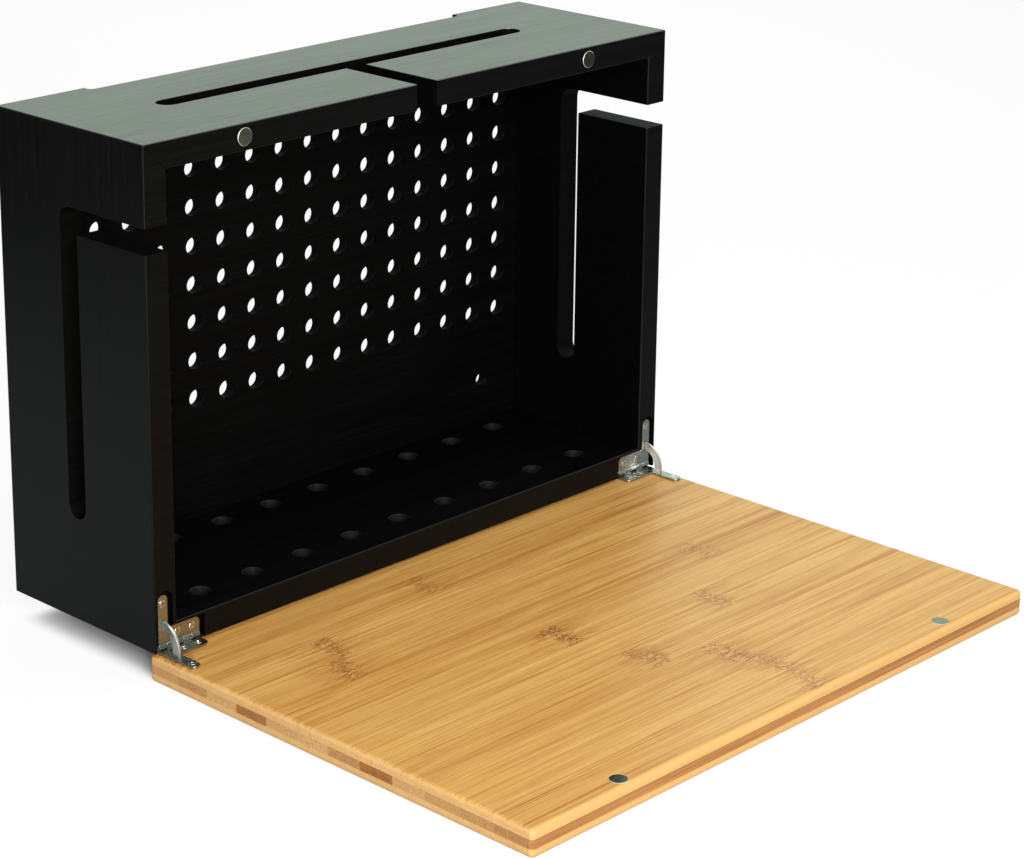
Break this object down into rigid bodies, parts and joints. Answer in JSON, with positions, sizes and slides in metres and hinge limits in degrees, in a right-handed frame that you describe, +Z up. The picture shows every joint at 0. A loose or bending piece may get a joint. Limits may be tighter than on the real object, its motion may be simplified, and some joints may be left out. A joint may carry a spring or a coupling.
{
  "type": "cable management box",
  "caption": "Black wooden box with a pegged back, cable slots in the top and sides, and a bamboo door that folds down on stay hinges and shuts on magnets.",
  "frame": {"origin": "on the surface that the open door lies on, under the middle of the object's outline with the door open", "axes": "+X to the right as seen from the front, +Y to the back, +Z up"},
  "size_m": [0.4, 0.3892, 0.2913],
  "materials": {
    "black_wood": "black satin paint on wood",
    "black_panel": "black satin paint on thin board",
    "plain_wood": "bare wood, hidden in the mitres",
    "bamboo": "oiled bamboo, strips along the width",
    "bamboo_core": "steamed bamboo strips, seen at the edges",
    "hinge": "nickel plate on steel",
    "screw": "nickel plate on steel",
    "magnet": "nickel plated magnet"
  },
  "bodies": {
    "case": {"top_board": "black_wood", "bottom_board": "black_wood", "left_side_board": "black_wood", "right_side_board": "black_wood", "back_panel": "black_panel", "corner_splines": "plain_wood", "left_case_magnet": "magnet", "right_case_magnet": "magnet", "left_case_leaf": "hinge", "right_case_leaf": "hinge", "left_case_screws": "screw", "right_case_screws": "screw", "left_hinge_pin": "screw", "right_hinge_pin": "screw"},
    "door": {"door_outer_layer": "bamboo", "door_core": "bamboo_core", "door_inner_layer": "bamboo", "left_door_magnet": "magnet", "right_door_magnet": "magnet", "left_door_leaf": "hinge", "right_door_leaf": "hinge", "left_stay": "hinge", "right_stay": "hinge", "left_door_screws": "screw", "right_door_screws": "screw"}
  },
  "joints": [
    {"name": "door_hinge", "type": "hinge", "parent": "case", "child": "door", "pos_m": [0, 0.07765, 0.0187], "axis": [-1, 0, 0], "range_deg": [0, 90]}
  ]
}
